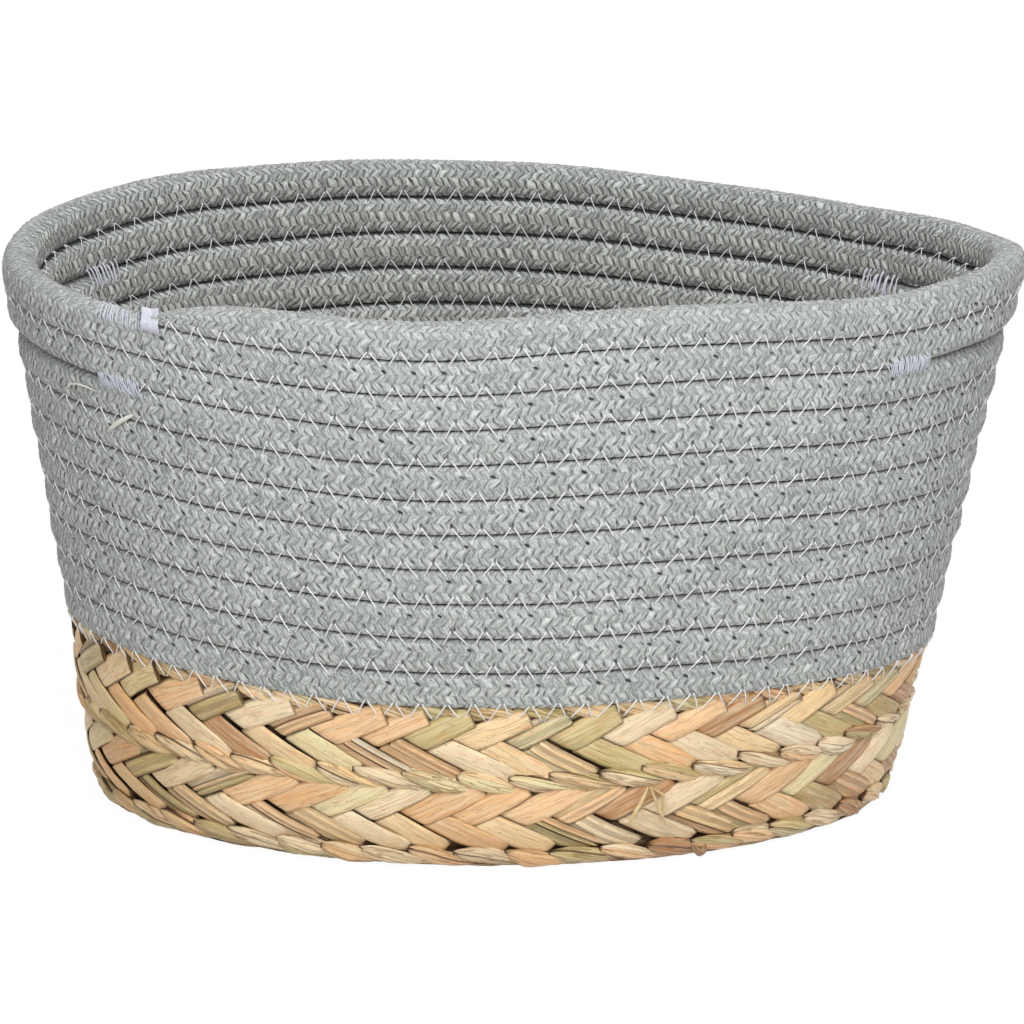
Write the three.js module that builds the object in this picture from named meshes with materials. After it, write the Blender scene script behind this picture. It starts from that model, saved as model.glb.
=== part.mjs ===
// Oval storage basket: a coiled cotton rope wall on a foot of plaited seagrass.
// Millimetres, +Z up, +X along the oval, the front towards -Y, the floor at z = 0.
import * as THREE from 'three';

// Outline of the basket
const rimLength = 298;
const rimDepth = 214;
const baseLength = 236;
const baseDepth = 156;
const wallHeight = 170;
const lengthFlare = 1.07;
const depthFlare = 0.6;
const ovalPower = 1.92;
const baseShift = -5;

// Rope of the wall, wound from the top end counter-clockwise and down
const ropeWidth = 10.2;
const coursePitch = 10.58;
const courseGap = 0.76;
const ropeEndAngle = -2.356;
const stepsPerTurn = 24;
const endDrop = 2.2;
const endSag = 0.8;
const backDip = 4.9;
const frontWave = 2.4;
const frontWaveLength = 1.2;
const ropeTaper = 55;
const tipShare = 0.35;
const tipWidth = 0.7;

// Handle slits under the two top courses, one round each end, from back tack to front tack
const coursesOverSlit = 2;
const slits = { left: { back: 2.7, front: 3.81 }, right: { back: 0.59, front: -0.66 } };
const slitFade = 0.45;
const slitOpening = 0.9;
const slitOverhang = 1.0;

// Bar tacks at the ends of the slits and the satin tack on the rope's end
const tackLength = 12.5;
const tackReach = 2.8;
const tackThickness = 1.1;
const endTackLength = 14;
const endTackThickness = 0.8;

// Plaits of the foot
const plaitWidth = 23.4;
const plaitThickness = 4.6;
const selvage = 2.4;
const faceHollow = 0.5;
const plaitInset = 0.5;
const heelTuck = 3.4;
const heelHeight = 11;
const baseThickness = 4.9;
const baseInset = 3.4;
const basePlaitWidth = 28;
const baseLoopGap = 0.65;
const baseStep = 0.25;
const baseLead = 0.08;
const backAngle = Math.PI / 2;

const clearance = 0.3;
const buttGap = 0.5;
const fullTurn = 2 * Math.PI;
const bandSteps = 48;
const baseSteps = 36;

const materials = {
  rope: new THREE.MeshStandardMaterial({ color: 0xabaeab, roughness: 0.95, metalness: 0 }),
  thread: new THREE.MeshStandardMaterial({ color: 0xdcdedd, roughness: 0.55, metalness: 0 }),
  plait: new THREE.MeshStandardMaterial({ color: 0xcfb486, roughness: 0.7, metalness: 0 }),
};

const { lerp, clamp, smoothstep, euclideanModulo } = THREE.MathUtils;

// A point of the nested ovals: the outline at a height, drawn in by an inset
function ovalPoint(angle, z, inset) {
  const share = clamp(z / wallHeight, 0, 1);
  const halfLength = lerp(baseLength, rimLength, share ** lengthFlare) / 2 - inset;
  const halfDepth = lerp(baseDepth, rimDepth, share ** depthFlare) / 2 - inset;
  const c = Math.cos(angle);
  const s = Math.sin(angle);
  const round = (Math.abs(c) ** ovalPower + Math.abs(s) ** ovalPower) ** (-1 / ovalPower);
  return new THREE.Vector3(halfLength * round * c + lerp(baseShift, 0, share), halfDepth * round * s, z);
}

// How far a handle slit is open at an angle: 1 inside the tacks, a half at them, 0 front and back
function slitWindow(angle) {
  const open = Object.values(slits).map(({ back, front }) => {
    const middle = (back + front) / 2;
    const away = Math.abs(euclideanModulo(angle - middle + Math.PI, fullTurn) - Math.PI);
    return smoothstep(Math.abs(front - back) / 2 - away, -slitFade / 2, slitFade / 2);
  });
  return Math.max(...open);
}

// Centre of the rope at a turn: its height and its inset. The courses lie a little uneven, as sewn
const footTop = baseThickness + 2 * (plaitWidth + clearance);
const ropeStations = Math.round(((wallHeight - footTop) / coursePitch - 0.5) * stepsPerTurn);
const ropeTurns = ropeStations / stepsPerTurn;
const courseHeight = coursePitch - courseGap;
const slitTurn = coursesOverSlit + 0.12;

function courseCentre(turn) {
  const angle = ropeEndAngle + turn * fullTurn;
  const level = wallHeight - coursePitch * (turn + 0.5);
  const share = clamp(level / wallHeight, 0, 1);
  const c = Math.cos(angle);
  const s = Math.sin(angle);
  const ends = -endDrop * c ** 3 - endSag * share * c ** 2;
  const front = frontWave * share * Math.max(0, -s) * Math.sin(fullTurn * c / frontWaveLength);
  const back = -backDip * share * Math.max(0, s) * 2 * c;
  const over = turn < slitTurn ? slitWindow(angle) : 0;
  return {
    angle,
    z: level + ends + front + back + over * slitOpening,
    inset: ropeWidth / 2 - over * slitOverhang,
  };
}

// Share of the rope's full thickness near its two tapered ends
const loopLength = Math.PI * (rimLength + rimDepth) / 2;

function taperAt(turn) {
  const fromTop = turn * loopLength;
  const fromStart = (ropeTurns - turn) * loopLength;
  return lerp(tipShare, 1, clamp(Math.min(fromTop, fromStart) / ropeTaper, 0, 1));
}

// A point beside the rope's centre, on the chord between two stations of the rope
function besideRope(turn, out, up) {
  const station = Math.floor(turn * stepsPerTurn + 1e-9);
  const along = turn * stepsPerTurn - station;
  const ends = [station, station + 1].map((index) => {
    const centre = courseCentre(index / stepsPerTurn);
    return ovalPoint(centre.angle, centre.z + up, centre.inset - out);
  });
  return ends[0].lerp(ends[1], along);
}

// One closed skin over a row of rings, with an end face at both ends
function skin(name, rings, material) {
  const sides = rings[0].length;
  const last = (rings.length - 1) * sides;
  const positions = rings.flat().flatMap((point) => point.toArray());
  const index = [];
  for (let row = 0; row < last; row += sides) {
    for (let j = 0; j < sides; j++) {
      const k = (j + 1) % sides;
      index.push(row + j, row + k, row + sides + k);
      index.push(row + j, row + sides + k, row + sides + j);
    }
  }
  for (const [a, b, c] of endFace(rings[0])) index.push(c, b, a);
  for (const [a, b, c] of endFace(rings.at(-1))) index.push(last + a, last + b, last + c);
  const geometry = new THREE.BufferGeometry();
  geometry.setAttribute('position', new THREE.Float32BufferAttribute(positions, 3));
  geometry.setIndex(turnedOut(positions, index));
  geometry.computeVertexNormals();
  const mesh = new THREE.Mesh(geometry, material);
  mesh.name = name;
  return mesh;
}

// Triangles of a flat ring, found in the ring's own plane
function endFace(ring) {
  const centre = ring.reduce((sum, point) => sum.add(point), new THREE.Vector3()).divideScalar(ring.length);
  const normal = new THREE.Vector3();
  ring.forEach((point, i) => {
    const next = ring[(i + 1) % ring.length];
    normal.add(point.clone().sub(centre).cross(next.clone().sub(centre)));
  });
  normal.normalize();
  const across = ring[0].clone().sub(centre).projectOnPlane(normal).normalize();
  const upright = normal.clone().cross(across);
  const flat = ring.map((point) => {
    const arm = point.clone().sub(centre);
    return new THREE.Vector2(arm.dot(across), arm.dot(upright));
  });
  return THREE.ShapeUtils.triangulateShape(flat, []);
}

// The same triangles, wound so that the body's volume is positive
function turnedOut(positions, index) {
  const point = (i) => new THREE.Vector3().fromArray(positions, index[i] * 3);
  let volume = 0;
  for (let i = 0; i < index.length; i += 3) {
    volume += point(i).dot(point(i + 1).cross(point(i + 2)));
  }
  if (volume > 0) return index;
  const flipped = [];
  for (let i = 0; i < index.length; i += 3) flipped.push(index[i], index[i + 2], index[i + 1]);
  return flipped;
}

// Half sizes of the rope's section; a thin end keeps against its neighbour, below it or above it
function ropeSection(turn) {
  const taper = taperAt(turn);
  const half = courseHeight / 2;
  const side = turn < ropeTurns / 2 ? -1 : 1;
  return { wide: ropeWidth / 2 * lerp(tipWidth, 1, taper), high: half * taper, shift: side * half * (1 - taper) };
}

// Rope of the wall: one unbroken tube of six sides, flat above and below
function ropeRing(turn) {
  const { wide, high, shift } = ropeSection(turn);
  const section = [[1, 0], [0.5, 1], [-0.5, 1], [-1, 0], [-0.5, -1], [0.5, -1]];
  return section.map(([out, up]) => besideRope(turn, out * wide, shift + up * high));
}

const ropeRings = [];
for (let station = 0; station <= ropeStations; station++) ropeRings.push(ropeRing(station / stepsPerTurn));

// Least distance from the points of a winding to the edges of its other loops
function leastGap(rings, perTurn) {
  const line = new THREE.Line3();
  const near = new THREE.Vector3();
  let least = Infinity;
  for (let i = 0; i < rings.length; i++) {
    for (let j = i + perTurn - 1; j <= Math.min(i + perTurn + 1, rings.length - 1); j++) {
      for (const point of rings[i]) {
        rings[j].forEach((from, k) => {
          line.set(from, rings[j][(k + 1) % rings[j].length]);
          least = Math.min(least, line.closestPointToPoint(point, true, near).distanceTo(point));
        });
      }
    }
  }
  return least;
}

// Bar tack: two pads that lie on the courses above and below a slit, and a web through the slit
function barTack(name, angle) {
  const turn = coursesOverSlit - 1 + euclideanModulo(angle - ropeEndAngle, fullTurn) / fullTurn;
  const halfTurn = tackLength / 2 / loopLength;
  const half = courseHeight / 2;
  const quarter = ropeWidth / 4;
  const slope = Math.hypot(half, quarter) / half;
  const foot = quarter + clearance * (slope - quarter / half);
  const pad = quarter * (1 + tackReach / half) + clearance * slope;
  const rings = [-1, -0.8, 0.8, 1].map((share) => {
    const at = turn + share * halfTurn;
    const thick = tackThickness * (Math.abs(share) === 1 ? 0.5 : 1);
    const line = [[foot, -half - clearance], [pad, tackReach - half], [pad + thick, tackReach - half]];
    const above = (side) => line.map(([out, up]) => besideRope(at, side * out, up));
    const below = (side) => line.map(([out, up]) => besideRope(at + 1, side * out, -up));
    const middle = (side) => {
      const out = side * (foot + 1.5 * thick);
      return besideRope(at, out, -half).lerp(besideRope(at + 1, out, half), 0.5);
    };
    return [
      ...above(1), middle(1), ...below(1).reverse(),
      ...below(-1), middle(-1), ...above(-1).reverse(),
    ];
  });
  return skin(name, rings, materials.thread);
}

// Satin tack: a saddle over the rope's thin end and the upper half of the course under it
function endTack(name) {
  const rings = [-0.5, -0.25, 0, 0.25, 0.5].map((share) => {
    const turn = Math.max(0, share * endTackLength / loopLength);
    const at = 1 + share * endTackLength / loopLength;
    const { wide, high } = ropeSection(turn);
    const seat = courseHeight / 2 + courseGap;
    const loose = 1.5 * clearance;
    const inner = [
      [ropeWidth / 2 + clearance, endTackThickness / 2],
      [wide + loose, seat + high],
      [wide / 2 + loose, seat + 2 * high + clearance],
    ];
    const outer = inner.map(([out, up], i) => {
      return [out + endTackThickness * (i === 2 ? 0.5 : 1), up + (i === 2 ? endTackThickness : 0)];
    });
    const place = (points, sign) => points.map(([out, up]) => besideRope(at, sign * out, up));
    return [
      ...place(outer, 1), ...place(outer, -1).reverse(),
      ...place(inner, -1), ...place(inner, 1).reverse(),
    ];
  });
  return skin(name, rings, materials.thread);
}

// Section of a plait on edge, between two heights: rolled selvages and a hollow face
function plaitSection(low, high) {
  const back = plaitInset + plaitThickness;
  return [
    [plaitInset + selvage / 2, low], [plaitInset, low + selvage], [plaitInset + faceHollow, low + 2 * selvage],
    [plaitInset + faceHollow, high - 2 * selvage], [plaitInset, high - selvage],
    [plaitInset + selvage / 2, high], [back - selvage / 2, high], [back, high - selvage],
    [back - faceHollow, high - 2 * selvage], [back - faceHollow, low + 2 * selvage],
    [back, low + selvage], [back - selvage / 2, low],
  ];
}

// The heel of the foot is drawn in towards the floor
function heel(z) {
  const low = clamp(1 - (z - baseThickness) / heelHeight, 0, 1);
  return heelTuck * low ** 2;
}

// A round of plait on edge, from butt to butt, whose top edge has a height at each share of the round
function wallPlait(name, startAngle, low, topAt) {
  const buttShare = buttGap / loopLength;
  const rings = [];
  for (let i = 0; i <= bandSteps; i++) {
    const share = clamp(i / bandSteps, buttShare, 1 - buttShare);
    const angle = startAngle + share * fullTurn;
    const section = plaitSection(low, topAt(share));
    rings.push(section.map(([inset, z]) => ovalPoint(angle, z, inset + heel(z))));
  }
  return skin(name, rings, materials.plait);
}

const lowerTop = baseThickness + clearance + plaitWidth;
const lowerPlait = wallPlait('lower_wall_plait', backAngle, baseThickness + clearance, () => lowerTop);

// The upper round's top edge keeps under the rope's last loop
const lastLoopAngle = ropeEndAngle + (ropeTurns - 1) * fullTurn;
const upperPlait = wallPlait('upper_wall_plait', lastLoopAngle, lowerTop + clearance, (share) => {
  const turn = ropeTurns - 1 + share;
  const lift = (1 - taperAt(turn)) * courseHeight;
  return besideRope(turn, 0, lift - courseHeight / 2).z - clearance;
});

// Flat oval winding of plait: every loop steps in by its own width behind the back
const baseReach = baseDepth / 2 - baseInset;
const baseLoops = Math.round(baseReach / basePlaitWidth);
const loopWidth = baseReach / baseLoops;

function loopInset(turn) {
  let inset = 0;
  for (let loop = 1; loop <= baseLoops; loop++) {
    inset += loopWidth * smoothstep(turn - loop, -baseLead, baseStep);
  }
  return inset;
}

function baseRing(turn) {
  const outer = baseInset + loopInset(turn);
  const inner = baseInset + loopInset(turn + 1) - baseLoopGap;
  const crown = Math.min(selvage, (inner - outer) / 4);
  const section = [
    [outer + crown / 2, 0], [outer, baseThickness / 2], [outer + crown, baseThickness],
    [outer + 2 * crown, baseThickness - faceHollow], [inner - 2 * crown, baseThickness - faceHollow],
    [inner - crown, baseThickness], [inner, baseThickness / 2], [inner - crown / 2, 0],
  ];
  return section.map(([inset, z]) => ovalPoint(backAngle + turn * fullTurn, 0, inset).setZ(z));
}

const baseRings = [];
const baseStations = Math.round((baseLoops + baseStep - baseLead) * baseSteps);
for (let station = 0; station <= baseStations; station++) baseRings.push(baseRing(station / baseSteps));

const ropeGap = leastGap(ropeRings, stepsPerTurn);
const baseGap = leastGap(baseRings, baseSteps);
console.log(`rope: ${ropeTurns.toFixed(2)} turns, least gap to itself ${ropeGap.toFixed(2)} mm`);
console.log(`base: ${baseLoops} loops ${loopWidth.toFixed(1)} mm wide, least gap ${baseGap.toFixed(2)} mm`);

const basket = new THREE.Group();
basket.add(
  skin('rope_wall_coil', ropeRings, materials.rope),
  upperPlait,
  lowerPlait,
  skin('base_plait_coil', baseRings, materials.plait),
  endTack('rope_end_tack'),
  barTack('handle_tack_front_left', slits.left.front),
  barTack('handle_tack_back_left', slits.left.back),
  barTack('handle_tack_front_right', slits.right.front),
  barTack('handle_tack_back_right', slits.right.back),
);

// The origin is the middle of the basket's box, on the floor
const middle = new THREE.Box3().setFromObject(basket, true).getCenter(new THREE.Vector3());
basket.position.set(-middle.x, -middle.y, 0);
basket.updateMatrixWorld(true);

export default basket;
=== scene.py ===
import math

import bpy
import numpy as np
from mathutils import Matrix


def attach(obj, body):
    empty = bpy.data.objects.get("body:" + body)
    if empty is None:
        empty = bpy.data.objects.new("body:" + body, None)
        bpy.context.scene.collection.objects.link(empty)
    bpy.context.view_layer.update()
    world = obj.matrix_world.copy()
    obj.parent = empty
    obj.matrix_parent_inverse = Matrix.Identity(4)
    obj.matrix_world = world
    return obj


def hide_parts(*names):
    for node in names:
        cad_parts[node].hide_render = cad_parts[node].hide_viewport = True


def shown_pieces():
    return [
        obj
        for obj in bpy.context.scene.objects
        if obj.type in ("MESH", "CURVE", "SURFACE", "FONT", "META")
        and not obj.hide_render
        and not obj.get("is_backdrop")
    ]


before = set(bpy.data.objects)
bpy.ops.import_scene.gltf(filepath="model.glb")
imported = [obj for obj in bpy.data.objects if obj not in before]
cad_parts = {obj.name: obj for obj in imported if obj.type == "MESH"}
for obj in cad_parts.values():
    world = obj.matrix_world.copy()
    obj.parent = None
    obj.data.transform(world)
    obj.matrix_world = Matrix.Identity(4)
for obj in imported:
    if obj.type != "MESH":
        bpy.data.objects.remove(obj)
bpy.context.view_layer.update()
mm = 0.001
fullTurn = 2 * math.pi
rng = np.random.default_rng(41)


# A new object in the scene
def added(name, data, place=(0, 0, 0), turned=(0, 0, 0)):
    thing = bpy.data.objects.new(name, data)
    thing.location, thing.rotation_euler = place, turned
    bpy.context.scene.collection.objects.link(thing)
    return thing


# The camera stands far off and a little above the rim, square to the long side
camera = {"distance": 2.2, "elevation": 0.286, "sideways": -0.0004, "aimHeight": 0.0835, "lens": 265.5}


def addCamera():
    data = bpy.data.cameras.new("camera")
    data.lens = camera["lens"]
    data.sensor_width = 36
    data.clip_end = 20
    back = camera["distance"] * math.cos(camera["elevation"])
    up = camera["distance"] * math.sin(camera["elevation"])
    place = (camera["sideways"], -back, camera["aimHeight"] + up)
    bpy.context.scene.camera = added("camera", data, place, (math.pi / 2 - camera["elevation"], 0, 0))


addCamera()
print("camera placed")

# Outline of the basket, in millimetres and radians, as the frame has it
oval = {
    "rimLength": 298, "rimDepth": 214, "baseLength": 236, "baseDepth": 156, "height": 170,
    "lengthFlare": 1.07, "depthFlare": 0.6, "power": 1.92, "baseShift": -5.0,
    "middle": (-0.2617, -0.2769),
    "footShift": -1.2, "footTop": (56, 36),  # the foot sits to the left, more and more between two heights
}
rope = {
    "width": 10.2, "pitch": 10.58, "endAngle": -2.356, "turns": 10.625,
    "endDrop": 2.2, "endSag": 0.8, "backDip": 4.9, "frontWave": 2.4, "frontWaveLength": 1.2,
    "taper": 42, "taperPower": 2.2, "tipShare": 0.22, "tipWidth": 0.7, "tipStart": -3.4,
    "faceRound": 5.2, "freeRound": 2.3, "seamGap": 0.06,  # how square the section is
    "endsRound": 0.3, "innerRound": 0.5,  # rounder at the two ends and inside
    "upright": 0.7,  # how far the courses stand upright on the leaning wall
    # how the front courses rise, low and high on the wall
    "lift": ((2.26, 1.35, -0.99, -0.55), (-2.1, 1.66, 1.25, 0.07)), "liftWaveLength": 1.5,
    "floatLength": 2.6, "relief": 0.36, "slant": 1.45, "holePull": 0.4,
    "floatStrength": (0.65, 1.1), "floatKinds": 4096, "fibre": 0.035,  # how uneven the floats are
    "cut": 0.375,  # share of a turn after the rope's top end where one length of mesh meets the next
}
halfWidth, halfPitch = rope["width"] / 2, rope["pitch"] / 2
slits = {
    "left": (2.7, 3.81), "right": (0.59, -0.66),  # back tack and front tack
    "fade": 0.45, "opening": 0.9, "overhang": 1.0, "underTurn": 2.12,
}


def smoothStep(value, low, high):
    share = np.clip((value - low) / (high - low), 0, 1)
    return share * share * (3 - 2 * share)


# Length along a line of points, from its start
def distances(points):
    return np.concatenate([[0], np.cumsum(np.linalg.norm(np.diff(points, axis=0), axis=1))])


# Nested ovals: half length and half depth grow with height as powers, the corner as a superellipse
def ovalPoint(angle, z, inset):
    share = np.clip(z / oval["height"], 0, 1)
    length = oval["baseLength"] + (oval["rimLength"] - oval["baseLength"]) * share ** oval["lengthFlare"]
    depth = oval["baseDepth"] + (oval["rimDepth"] - oval["baseDepth"]) * share ** oval["depthFlare"]
    c, s = np.cos(angle), np.sin(angle)
    n = oval["power"]
    reach = (np.abs(c) ** n + np.abs(s) ** n) ** (-1 / n)
    x = (length / 2 - inset) * reach * c + oval["baseShift"] * (1 - share) - oval["middle"][0]
    x = x + oval["footShift"] * smoothStep(z, *oval["footTop"])
    y = (depth / 2 - inset) * reach * s - oval["middle"][1]
    return np.stack(np.broadcast_arrays(x, y, z), -1)


# Outward direction of the oval at an angle, level with the floor
def outward(angle):
    halfLength, halfDepth = oval["rimLength"] / 2, oval["rimDepth"] / 2
    normal = np.stack([np.cos(angle) / halfLength, np.sin(angle) / halfDepth, 0 * angle], -1)
    return normal / np.linalg.norm(normal, axis=-1, keepdims=True)


# 1 inside a handle slit, a half at its tacks, 0 at the front and back
def slitWindow(angle):
    window = 0
    for back, front in (slits["left"], slits["right"]):
        away = np.abs(np.mod(angle - (back + front) / 2 + math.pi, fullTurn) - math.pi)
        edge = abs(front - back) / 2 - away
        window = np.maximum(window, smoothStep(edge, -slits["fade"] / 2, slits["fade"] / 2))
    return window


# Angle of the rope at a turn, a straight line
def angleAt(turn):
    return rope["endAngle"] + turn * fullTurn


# Centre of the rope at a turn, counted from its top end: angle, height and inset. The height falls by a
# pitch for each turn, with powers and sines of the angle for its dips and waves
def ropeCentre(turn):
    angle = angleAt(turn)
    level = oval["height"] - rope["pitch"] * (turn + 0.5)
    share = np.clip(level / oval["height"], 0, 1)
    c, s = np.cos(angle), np.sin(angle)
    ends = -rope["endDrop"] * c ** 3 - rope["endSag"] * share * c ** 2
    wave = np.maximum(0, -s) * np.sin(fullTurn * c / rope["frontWaveLength"])
    dip = np.maximum(0, s) * 2 * c
    over = np.where(turn < slits["underTurn"], slitWindow(angle), 0)
    z = level + ends + share * (rope["frontWave"] * wave - rope["backDip"] * dip) + over * slits["opening"]
    along = fullTurn * c / rope["liftWaveLength"]
    for lift, power in zip(rope["lift"], (1, 3)):
        bulge = lift[0] + lift[1] * c + lift[2] * np.cos(along) + lift[3] * np.sin(along)
        z = z + np.maximum(0, -s) * share ** power * bulge
    # small unevenness that neighbouring courses share, and some that makes a course thicker or thinner
    z = z + 0.2 * np.sin(7 * angle + 0.02 * level) + 0.14 * np.sin(13 * angle - 0.03 * level)
    z = z + np.clip(turn, 0, 1) * (0.26 * np.sin(8.6 * turn + 1) + 0.18 * np.sin(16.4 * turn + 2.5))
    return angle, z, halfWidth - over * slits["overhang"]


# How far a course stands out of the wall: a sum of two sines, so that neighbours differ
def courseShift(turn):
    angle = angleAt(turn)
    return 0.2 * np.sin(5 * angle + 2.1 * turn) + 0.08 * np.sin(17 * angle + 1.3 * turn)


# How much wider the oval gets for each millimetre of height
def flareAt(angle, z, inset):
    wider = ovalPoint(angle, z + 1, inset) - ovalPoint(angle, z - 1, inset)
    return (wider * outward(angle)).sum(-1) / 2


# Length along the rope against its turns, measured once on a fine polyline
turnTable = np.linspace(-0.05, rope["turns"] + 1.05, 24000)
angleTable, heightTable, insetTable = ropeCentre(turnTable)
lengthTable = distances(ovalPoint(angleTable, heightTable, insetTable))
lengthTable -= np.interp(0, turnTable, lengthTable)
loopLength = math.pi * (oval["rimLength"] + oval["rimDepth"]) / 2


def turnAt(length):
    return np.interp(length, lengthTable, turnTable)


def lengthAt(turn):
    return np.interp(turn, turnTable, lengthTable)


# Share of full thickness near the two thinned ends of the rope: a power that rises fast, then slowly
def taperAt(turn):
    near = np.minimum(turn, rope["turns"] - turn) * loopLength
    return 1 - (1 - rope["tipShare"]) * (1 - np.clip(near / rope["taper"], 0, 1)) ** rope["taperPower"]


# Underside of the rope at a turn, higher where the rope is thinned
def underRope(turn):
    return ropeCentre(turn)[1] - halfPitch + (1 - taperAt(turn)) * halfPitch


# How far a handle slit parts a course from the one below it
def partedBelow(turn):
    return slitWindow(angleAt(turn)) * ((turn > 1) & (turn < slits["underTurn"]))


# A piece from closed shells: every shell is a grid of rings, joined to quads and capped at both ends.
# uv and tint lie on the corners, stitch and shade on the points
def makePiece(name, groups, material, slot, *nodes):
    points, corners, starts, uvs, flats = [], [], [], [], []
    extras = {"tint": [], "stitch": [], "shade": []}
    base = cornerCount = 0
    for group in groups:
        grid = np.asarray(group["grid"], dtype=np.float64) * mm
        count, rows, cols = grid.shape[:3]
        index = np.arange(count * rows * cols).reshape(count, rows, cols) + base
        after = np.roll(index, -1, axis=2)
        quads = np.stack([index[:, :-1], after[:, :-1], after[:, 1:], index[:, 1:]], -1)
        uv = group.get("uv", np.zeros((count, rows, cols + 1, 2)))
        quadUv = np.stack([uv[:, :-1, :-1], uv[:, :-1, 1:], uv[:, 1:, 1:], uv[:, 1:, :-1]], -2)
        centre = grid.mean(axis=2)
        caps = count * rows * cols + base + np.arange(count * 2).reshape(count, 2)
        first = np.stack([np.broadcast_to(caps[:, :1], (count, cols)), after[:, 0], index[:, 0]], -1)
        last = np.stack([np.broadcast_to(caps[:, 1:], (count, cols)), index[:, -1], after[:, -1]], -1)
        # a shell that came out inside out is turned round
        a, b, c = (grid.reshape(-1, 3)[quads[..., k] - base] for k in (0, 1, 2))
        away = centre.mean(axis=1)[:, None, None, :]
        inside = np.einsum("nijk,nijk->n", a - away, np.cross(b - away, c - away)) < 0
        quadUv[inside] = quadUv[inside][..., ::-1, :]
        for faces in (quads, first, last):
            faces[inside] = faces[inside][..., ::-1]
        points += [grid.reshape(-1, 3), centre[:, [0, -1]].reshape(-1, 3)]
        quadCount, capCount = quads.size // 4, (first.size + last.size) // 3
        corners += [quads.ravel(), first.ravel(), last.ravel()]
        starts += [cornerCount + 4 * np.arange(quadCount),
                   cornerCount + 4 * quadCount + 3 * np.arange(capCount)]
        uvs += [quadUv.reshape(-1, 2)]
        uvs += [np.repeat(uv[:, row, :-1].reshape(-1, 2), 3, axis=0) for row in (0, -1)]
        flats += [np.zeros(quadCount, bool), np.ones(capCount, bool)]
        if "tint" in group:  # a colour for each column of a shell, and how crinkled the leaf is: fold lines of painted shade
            tint = np.concatenate([group["tint"], np.full((count, cols, 1), group["crinkle"])], -1)
            around = np.broadcast_to(tint[:, None, :, None, :], (count, rows - 1, cols, 4, 4))
            ends = np.repeat(tint.reshape(-1, 4), 3, axis=0)
            extras["tint"] += [around.reshape(-1, 4), ends, ends]
        if "stitch" in group:  # where the needle went, and nowhere near on the caps
            extras["stitch"] += [group["stitch"].reshape(-1, 3), np.tile([0.5, 0, 50.0], (count * 2, 1))]
        if "shade" in group:  # painted shade: how deep in a crevice, or how far inside the basket, 0 to 1
            shade = np.broadcast_to(group["shade"], (count, rows, cols))
            extras["shade"] += [shade.ravel(), shade[:, [0, -1]].mean(axis=2).ravel()]
        base += count * rows * cols + count * 2
        cornerCount += 4 * quadCount + 3 * capCount
    points, corners, starts = map(np.concatenate, (points, corners, starts))
    mesh = bpy.data.meshes.new(name)
    mesh.vertices.add(len(points))
    mesh.vertices.foreach_set("co", points.astype(np.float32).ravel())
    mesh.loops.add(len(corners))
    mesh.loops.foreach_set("vertex_index", corners.astype(np.int32))
    mesh.polygons.add(len(starts))
    mesh.polygons.foreach_set("loop_start", starts.astype(np.int32))
    mesh.update(calc_edges=True)
    layer = mesh.uv_layers.new(name="weave")
    layer.uv.foreach_set("vector", np.concatenate(uvs).astype(np.float32).ravel())
    mesh.polygons.foreach_set("use_smooth", ~np.concatenate(flats))
    for key, kind, domain, part in (("tint", "FLOAT_COLOR", "CORNER", "color"),
                                    ("stitch", "FLOAT_VECTOR", "POINT", "vector"),
                                    ("shade", "FLOAT", "POINT", "value")):
        if extras[key]:
            values = np.concatenate(extras[key]).astype(np.float32).ravel()
            mesh.attributes.new(key, kind, domain).data.foreach_set(part, values)
    mesh.materials.append(material)
    piece = added(name, mesh)
    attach(piece, "root")
    if nodes:
        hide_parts(*nodes)


# Round tubes along many paths at once; a path keeps its section square to the wall
def tubes(paths, normals, radius, sides=4):
    along = np.gradient(paths, axis=1)
    along /= np.linalg.norm(along, axis=-1, keepdims=True) + 1e-9
    normals = normals - (normals * along).sum(-1, keepdims=True) * along
    normals = normals / (np.linalg.norm(normals, axis=-1, keepdims=True) + 1e-9)
    across = np.cross(along, normals)
    turn = np.arange(sides) * fullTurn / sides
    radius = np.broadcast_to(radius, paths.shape[:2])[..., None, None]
    ring = np.cos(turn)[:, None] * normals[..., None, :] + np.sin(turn)[:, None] * across[..., None, :]
    return paths[..., None, :] + radius * ring


# A value in a material, so that arithmetic on it adds Blender's math nodes
class Value:
    def __init__(self, recipe, socket):
        self.recipe, self.socket = recipe, socket

    # a method that adds one math node
    def operation(kind):
        return lambda self, *others: self.recipe.math(kind, self, *others)

    __add__, __sub__, __mul__ = operation("ADD"), operation("SUBTRACT"), operation("MULTIPLY")
    __truediv__, __abs__ = operation("DIVIDE"), operation("ABSOLUTE")
    floor, fract = operation("FLOOR"), operation("FRACT")

    def __rsub__(self, other):
        return self.recipe.math("SUBTRACT", other, self)


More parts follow.
